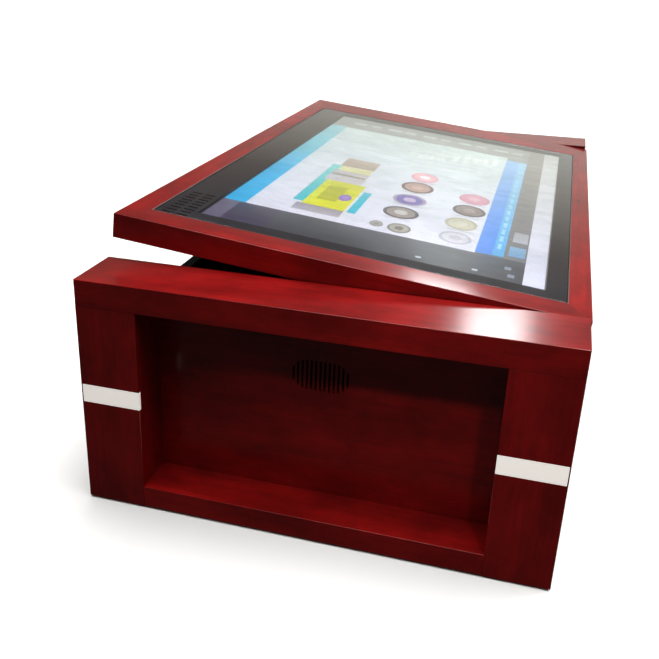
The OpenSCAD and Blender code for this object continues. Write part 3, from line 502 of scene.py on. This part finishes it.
# The picture is laid out in millimetres from the near left corner of the closed lid.
# Patches: x range, y range, layer, colour at the near end and colour at the far end
PATCHES = [
    ((106, 679), (93, 1111), 0, "#63656f", "#a3a8a4"),
    ((106, 138), (93, 216), 1, "#645c7a", "#6a647a"),
    ((138, 215), (93, 216), 1, "#382c4c", "#444050"),
    ((215, 643), (93, 216), 1, "#303139", "#484a53"),
    ((146, 557), (216, 985), 1, "#e6e4f6", "#d2e2e2"),
    ((106, 146), (216, 520), 1, "#22b2ee", "#48baec"),
    ((106, 146), (520, 640), 1, "#5ac0ec", "#6cc6e6"),
    ((106, 146), (640, 985), 1, "#6cc8e2", "#96d0d8"),
    ((557, 586), (221, 960), 2, "#3388f2", "#8fc0ee"),
    ((586, 605), (223, 960), 2, "#4aaeee", "#9fd0ee"),
    ((605, 643), (216, 1111), 2, "#77767c", "#94938e"),
    ((643, 677), (93, 1111), 3, "#e2e2f8", "#c8ccc6"),
    ((210, 230), (296, 600), 2, "#2fbccc", "#86d8d4"),
    ((230, 311), (285, 472), 2, "#e4e424", "#dfe04c"),
    ((246, 284), (330, 436), 3, "#b8ba34", "#c4c646"),
    ((316, 332), (283, 433), 2, "#22bcd8", "#40c2d8"),
    ((222, 311), (243, 285), 2, "#b9b2c4", "#9d94a6"),
    ((223, 300), (472, 560), 2, "#d0cbd2", "#c2bdc4"),
    ((226, 296), (520, 532), 3, "#99928a", "#a39c94"),
    ((230, 298), (560, 602), 2, "#e2e2a6", "#dcd8b2"),
    ((226, 299), (602, 676), 2, "#b3a294", "#c0b2a6"),
    ((612, 640), (236, 290), 3, "#6ea4d4", "#86b0d4"),
    ((614, 640), (318, 379), 3, "#b4b6c2", "#a6a8b2"),
]

# Marks of one size that repeat, on the layer over the patches: first x and y, width and length, step,
# how many, colour
MARKS = [
    ((591, 262), (7, 30), (0, 44), 14, "#9fd8f6"),
    ((150, 1040), (34, 20), (92, 0), 5, "#c9d2ce"),
    ((196, 1040), (26, 20), (92, 0), 5, "#c2cbc8"),
    ((440, 845), (10, 46), (22, 8), 5, "#f2f6f4"),
    ((360, 800), (8, 40), (26, 12), 4, "#e9f0f0"),
    ((340, 800), (7, 110), (31, 9), 7, "#e0ebe9"),
    ((355, 700), (6, 80), (37, 14), 6, "#dde8e8"),
    ((180, 860), (8, 80), (30, 6), 5, "#d9e6e6"),
    ((379, 308), (52, 5), (0, 94), 4, "#c9c8d6"),
    ((496, 314), (50, 5), (0, 92), 3, "#c9c8d6"),
    ((470, 128), (9, 7), (92, -1), 2, "#c4c8d6"),
    ((618, 130), (11, 14), (-7, 34), 2, "#8e93a8"),
]

# Round chips on the page: middle x and y, width and length, colour of rim, face and middle
CHIPS = [
    (378, 257, 24, 34, "#8f8b88", "#a8a4a0", "#8a8682"),
    (419, 257, 42, 54, "#7f7b74", "#aaa59a", "#6f6b66"),
    (405, 351, 67, 76, "#57525a", "#9a8f88", "#cfc8c6"),
    (405, 445, 66, 77, "#a79ab4", "#6f66b2", "#c9b4d6"),
    (404, 545, 66, 84, "#665450", "#b3968c", "#caa79e"),
    (405, 635, 58, 76, "#eaa2b2", "#efb6c2", "#f8eef4"),
    (517, 271, 58, 68, "#bcbacc", "#dcdae8", "#c6c4d6"),
    (517, 359, 60, 76, "#b6b09a", "#cbc6b0", "#d8d5c6"),
    (521, 454, 64, 77, "#544a50", "#857876", "#a0928e"),
    (522, 543, 62, 77, "#d290a8", "#d898ae", "#e0b0c0"),
    (292, 369, 26, 44, "#8a62c4", "#9a7ad0", "#a88cd8"),
]

# Size of a chip's rim, face and middle as shares of the whole
CHIP_RINGS = (1, 0.8, 0.38)

# Height of the picture's lowest layer over the panel, and of each layer over the one below
FIRST_LAYER = 0.05 * MM
LAYER_STEP = 0.1 * MM


class GAMING_OT_picture(bpy.types.Operator):
    """Lays out the lit picture of the screen: a page, coloured bands and rows of round game chips"""

    bl_idname = "gaming.picture"
    bl_label = "Picture"

    def execute(self, context):
        bm = bmesh.new()
        ink = bm.loops.layers.float_color.new("picture")
        corner = closed_box("lid_left_rail")[0]
        base = closed_box("display_panel")[1].z

        def paint(verts, near, far):
            """Colours a patch's faces, blending from its near end to its far end."""
            low = min(v.co.y for v in verts)
            high = max(v.co.y for v in verts)
            for face in {f for v in verts for f in v.link_faces}:
                for loop in face.loops:
                    t = (loop.vert.co.y - low) / (high - low)
                    loop[ink] = Vector(colour(near)).lerp(Vector(colour(far)), t)

        def at(x, y, z):
            """A place on the picture, at a height over the closed lid's panel."""
            return Vector((corner.x + x * MM, corner.y + y * MM, base + z))

        def top(layer):
            """Height of a layer's face over the panel."""
            return FIRST_LAYER + LAYER_STEP * layer

        top_patch = max(patch[2] for patch in PATCHES)
        for (left, right), (front, back), layer, near, far in PATCHES:
            paint(cuboid(bm, at(left, front, 0), at(right, back, top(layer))), near, far)
        for start, size, step, count, shade in MARKS:
            for n in range(count):
                x = start[0] + n * step[0]
                y = start[1] + n * step[1]
                mark = cuboid(bm, at(x, y, 0), at(x + size[0], y + size[1], top(top_patch + 1)))
                paint(mark, shade, shade)
        for x, y, wide, long, *shades in CHIPS:
            for ring, (share, shade) in enumerate(zip(CHIP_RINGS, shades)):
                high = top(top_patch + ring)
                shape = (
                    Matrix.Translation(at(x, y, high / 2))
                    @ Matrix.Diagonal((wide * share * MM, long * share * MM, high, 1)))
                disc = bmesh.ops.create_cone(
                    bm, segments=32, radius1=0.5, radius2=0.5, depth=1, cap_ends=True, matrix=shape)
                paint(disc["verts"], shade, shade)
        bmesh.ops.transform(bm, matrix=OPENED, verts=bm.verts)
        settle(bm, "screen_picture", "lid", [lit_panel()], smooth=False)
        return {"FINISHED"}


class GAMING_OT_display_case(bpy.types.Operator):
    """Finishes the display's bezel, panel, light guide, tray, brackets, cover and boards"""

    bl_idname = "gaming.display_case"
    bl_label = "Display case"

    def execute(self, context):
        # Painted steel bezel: dark grey, semi-matt
        painted = speckled("steel_painted_grey", "#3a3b3f", "#2c2d30", 0.0012, 0.45)
        # The panel's glass round the picture: near black, smooth
        cell = speckled("panel_glass_black", "#15181c", "#0e1013", 0.01, 0.2, bump=0.01)
        # Clear cast acrylic light guide: milky white at its face
        guide = speckled("acrylic_light_guide", "#eef0f4", "#dfe3ea", 0.003, 0.2, bump=0.02)
        # Textured powder coat on folded sheet: black, finely pebbled
        coat = speckled("sheet_powder_coated", "#26272a", "#18191b", 0.0008, 0.6, bump=0.4)
        # Zinc-plated pressings: pale yellowish grey, mottled
        zinc = speckled("steel_zinc_plated", "#b9b6a6", "#8f8c80", 0.004, 0.38, metallic=1.0)
        dress(painted, "display_bezel")
        dress(cell, "display_panel")
        dress(guide, "light_guide")
        dress(coat, "electronics_cover", "display_tray")
        dress(zinc, "display_brackets", "lock_keeper")
        dress(circuit_laminate(), "display_board", "computer_board")
        return {"FINISHED"}


class GAMING_OT_hardware(bpy.types.Operator):
    """Finishes the hinges, screws, gas struts and the cam lock"""

    bl_idname = "gaming.hardware"
    bl_label = "Hardware"

    def execute(self, context):
        # Rolled and brushed steel: pale grey, with fine lines along the hinge
        steel = speckled("steel_brushed", "#c3c6ca", "#9a9da1", 0.0006, 0.3, metallic=1.0, stretch=(1, 40, 1))
        # Zinc-plated screws, pins and cam: yellowish grey, mottled
        screws = speckled("screws_zinc_plated", "#c2bfae", "#97947f", 0.0012, 0.35, metallic=1.0)
        # Ground and chromed rod: near mirror
        chrome = speckled("steel_chromed", "#e0e2e6", "#c9ccd1", 0.002, 0.08, bump=0.02, metallic=1.0)
        # Powder-coated tube: black, satin
        black = speckled("tube_powder_coated", "#1b1c1f", "#101113", 0.0008, 0.42, bump=0.25)
        dress(steel, "hinge_wall_leaves", "hinge_lid_leaves", "strut_wall_brackets", "strut_lid_brackets")
        dress(screws, "hinge_screws", "lid_hinge_screws", "hinge_pins", "lock_cam")
        dress(chrome, "lock_barrel", "near_strut_rod", "far_strut_rod")
        dress(black, "near_strut_cylinder", "far_strut_cylinder")
        return {"FINISHED"}


class GAMING_OT_electrics(bpy.types.Operator):
    """Finishes the speakers, the computer, the supplies, the power inlet and the fan"""

    bl_idname = "gaming.electrics"
    bl_label = "Electrics"

    def execute(self, context):
        # Pressed paper cone in a moulded basket: charcoal, fibrous
        paper = speckled("speaker_paper_pressed", "#242427", "#131315", 0.002, 0.75, bump=0.35)
        # Moulded case with a spark-eroded texture: soft black
        moulded = speckled("abs_moulded_black", "#1f2023", "#141518", 0.0008, 0.5, bump=0.3)
        # Moulded housing of the driver: warm off-white, satin
        white = speckled("abs_moulded_white", "#e6e5df", "#d6d5ce", 0.0015, 0.5)
        # Enclosures of folded sheet, powder coated: dark grey, finely pebbled
        coat = speckled("case_powder_coated", "#3d3f44", "#2d2f33", 0.0008, 0.55, bump=0.3)
        # Extruded vinyl sheath of the lead: black, satin
        vinyl = speckled("vinyl_extruded", "#1b1b1d", "#111113", 0.002, 0.5)
        dress(paper, "near_speaker", "far_speaker")
        dress(moulded, "power_inlet", "power_rocker", "fan_frame", "fan_rotor")
        dress(white, "led_driver")
        dress(coat, "computer_case", "power_supply", "vent_grille")
        dress(vinyl, "mains_lead")
        return {"FINISHED"}


# ---- The stage ----

# Half the width of the floor, and the height of the cloth round it, in metres
FLOOR_HALF = 60
CLOTH_HEIGHT = 45


def stage_thing(name, bm, made):
    """A thing round the table, which the gloss of the boards doesn't mirror, as over a dark studio floor."""
    mesh = bpy.data.meshes.new(name)
    bm.to_mesh(mesh)
    bm.free()
    mesh.materials.append(made)
    thing = bpy.data.objects.new(name, mesh)
    bpy.context.scene.collection.objects.link(thing)
    thing.visible_glossy = False
    thing.visible_diffuse = False
    return thing


def rolled_paper(shade):
    """Rolled paper: matt white, with a faint cloudiness 0.4 m across."""
    made, tree, shader = shader_of("paper_rolled_white", {"Roughness": 0.9, "Specular IOR Level": 0.0})
    clouds = add(tree, "TexNoise", {"Vector": lain(tree, [0.4] * 3)}, {"Scale": 1, "Detail": 2})
    dimmed = (*(0.97 * part for part in shade), 1)
    shades = add(tree, "ValToRGB", {"Fac": clouds.outputs["Fac"]}, stops=[(0.3, dimmed), (0.7, (*shade, 1))])
    tree.links.new(shades.outputs["Color"], shader.inputs["Base Color"])
    return made


def lay_floor(shade):
    """A wide sheet of paper under the table."""
    bm = bmesh.new()
    bmesh.ops.create_grid(bm, x_segments=8, y_segments=8, size=FLOOR_HALF)
    stage_thing("floor", bm, rolled_paper(shade))


def hang_backdrop():
    """White cloth hung far off all round, lit as brightly as the floor."""
    cloth = shader_of("muslin_lit_white", {
        "Roughness": 0.9, "Emission Color": colour("#ffffff"), "Emission Strength": 1})[0]
    bm = bmesh.new()
    bmesh.ops.create_grid(bm, x_segments=8, y_segments=8, size=FLOOR_HALF)
    rim = [edge for edge in bm.edges if edge.is_boundary]
    raised = bmesh.ops.extrude_edge_only(bm, edges=rim)["geom"]
    hem = [part for part in raised if isinstance(part, bmesh.types.BMVert)]
    bmesh.ops.translate(bm, vec=(0, 0, CLOTH_HEIGHT), verts=hem)
    level = [face for face in bm.faces if abs(face.normal.z) > 0.5]
    bmesh.ops.delete(bm, geom=level, context="FACES")
    backdrop = stage_thing("backdrop", bm, cloth)
    backdrop.visible_shadow = False
    backdrop.visible_transmission = False


def dim_room():
    """A dim room, with a pale band low on the wall behind the table that the glass mirrors as haze."""
    world = bpy.data.worlds.new("dim_studio")
    world.use_nodes = True
    tree = world.node_tree
    way = add(tree, "TexCoord")
    axes = add(tree, "SeparateXYZ", {"Vector": way.outputs["Generated"]})
    height = add(tree, "ValToRGB", {"Fac": axes.outputs["Z"]}, stops=[
        (0.0, colour("#2a2828")), (0.02, colour("#dfe3de")), (0.16, colour("#e2e4dd")),
        (0.23, colour("#b2aca1")), (0.29, colour("#6b5f54")), (0.35, colour("#3a302c")),
        (0.45, colour("#262322"))])
    behind = add(tree, "MapRange", {"Value": axes.outputs["Y"]}, {"From Min": 0.1, "From Max": 0.8})
    room = add(tree, "Mix", {0: behind.outputs["Result"], 7: height.outputs["Color"]},
               {6: colour("#403c3b")}, data_type="RGBA")
    # A brown wall lit from the side, back and to the left, up to 25 degrees high
    left = add(tree, "MapRange", {"Value": axes.outputs["X"]},
               {"From Min": -0.41, "From Max": -0.5}, interpolation_type="SMOOTHSTEP")
    low = add(tree, "MapRange", {"Value": axes.outputs["Z"]},
              {"From Min": 0.42, "From Max": 0.36}, interpolation_type="SMOOTHSTEP")
    both = add(tree, "Math", {0: left.outputs["Result"], 1: low.outputs["Result"]}, operation="MULTIPLY")
    wall = add(tree, "Math", {0: both.outputs["Value"], 1: behind.outputs["Result"]}, operation="MULTIPLY")
    walled = add(tree, "Mix", {0: wall.outputs["Value"], 6: room.outputs[2]}, {7: colour("#84746a")},
                 data_type="RGBA")
    tree.links.new(walled.outputs[2], tree.nodes["Background"].inputs["Color"])
    bpy.context.scene.world = world


def hung_light(kind, name, power, place, target):
    """A light at a place, facing a target."""
    light = bpy.data.objects.new(name, bpy.data.lights.new(name, kind))
    light.data.energy = power
    light.location = place
    light.rotation_euler = (Vector(target) - Vector(place)).to_track_quat("-Z", "Y").to_euler()
    bpy.context.scene.collection.objects.link(light)
    return light.data


def softbox(name, power, size, place, target):
    """A rectangular light of a width and height in metres."""
    box = hung_light("AREA", name, power, place, target)
    box.shape = "RECTANGLE"
    box.size, box.size_y = size
    return box


def spot(name, power, cone, place, target):
    """A soft-edged spot of light that adds no highlight, with its cone in degrees."""
    lamp = hung_light("SPOT", name, power, place, target)
    lamp.spot_size = math.radians(cone)
    lamp.spot_blend = 1
    lamp.shadow_soft_size = 0.1
    lamp.specular_factor = 0


def hang_lights(stage):
    """The wide light overhead, the window behind, the fill in front and two small spots."""
    sun = hung_light("SUN", "overhead", stage.overhead, place=(0.8, 0.6, 4), target=(0, 0, 0))
    sun.angle = math.radians(60)
    softbox("window_behind", stage.window, size=(0.42, 1.0), place=(0.076, 3.84, 2.62),
            target=(0.25, -0.69, 0.39))
    fill = softbox("fill_in_front", stage.front, size=(1.6, 1.0), place=(-0.5, -2.1, 2.9),
                   target=(0, -0.74, 0.2))
    fill.specular_factor = 0
    spot("right_stile_light", stage.side, cone=20, place=(0.9, -2.2, 2.4), target=(0.28, -0.74, 0.37))
    spot("near_rails_light", stage.rail, cone=8, place=(0.3, -2.4, 2.6), target=(0.14, -0.74, 0.46))


def set_camera():
    """A camera in front of the near end and to the right, a little above the lid, sharp throughout."""
    camera = bpy.data.objects.new("camera", bpy.data.cameras.new("camera"))
    lens = camera.data
    lens.lens = 47.316
    lens.sensor_width = 36
    lens.sensor_fit = "AUTO"
    lens.shift_x, lens.shift_y = (0.04896, -0.01434)
    lens.clip_start, lens.clip_end = (0.05, 200)
    camera.location = (0.29135, -1.81672, 0.85568)
    camera.rotation_euler = [math.radians(angle) for angle in (66.82571, -1.39185, 16.74207)]
    bpy.context.scene.collection.objects.link(camera)
    bpy.context.scene.camera = camera


class GAMING_OT_stage(bpy.types.Operator):
    """Makes the pale floor, the backdrop, the room, the studio lights and the camera"""

    bl_idname = "gaming.stage"
    bl_label = "Stage"

    def execute(self, context):
        stage = context.scene.gaming_stage
        lay_floor(stage.floor_colour)
        hang_backdrop()
        dim_room()
        hang_lights(stage)
        set_camera()
        context.scene.view_settings.view_transform = "Standard"
        return {"FINISHED"}


class GAMING_PT_panel(bpy.types.Panel):
    """Lists the operators and the settings of the gaming table"""

    bl_idname = "GAMING_PT_panel"
    bl_label = "Gaming Table"
    bl_space_type = "VIEW_3D"
    bl_region_type = "UI"
    bl_category = "Gaming Table"

    def draw(self, context):
        column = self.layout.column()
        for operator in OPERATORS:
            column.operator(operator.bl_idname)
        for group in (context.scene.gaming_boards, context.scene.gaming_lid, context.scene.gaming_stage):
            for name in group.bl_rna.properties.keys():
                if name not in ("rna_type", "name"):
                    column.prop(group, name)


OPERATORS = (
    GAMING_OT_stage, GAMING_OT_end_frames, GAMING_OT_carcass, GAMING_OT_light_bands, GAMING_OT_lid_frame,
    GAMING_OT_glass, GAMING_OT_picture, GAMING_OT_display_case, GAMING_OT_hardware, GAMING_OT_electrics)
GROUPS = {"gaming_boards": BoardSettings, "gaming_lid": LidSettings, "gaming_stage": StageSettings}


def register():
    for made in (*GROUPS.values(), *OPERATORS, GAMING_PT_panel):
        bpy.utils.register_class(made)
    for name, group in GROUPS.items():
        setattr(bpy.types.Scene, name, bpy.props.PointerProperty(type=group))


def unregister():
    for name in GROUPS:
        delattr(bpy.types.Scene, name)
    for made in reversed((*GROUPS.values(), *OPERATORS, GAMING_PT_panel)):
        bpy.utils.unregister_class(made)


def main():
    """Builds the whole table."""
    register()
    for operator in OPERATORS:
        group, name = operator.bl_idname.split(".")
        getattr(getattr(bpy.ops, group), name)()


if __name__ == "__main__":
    main()
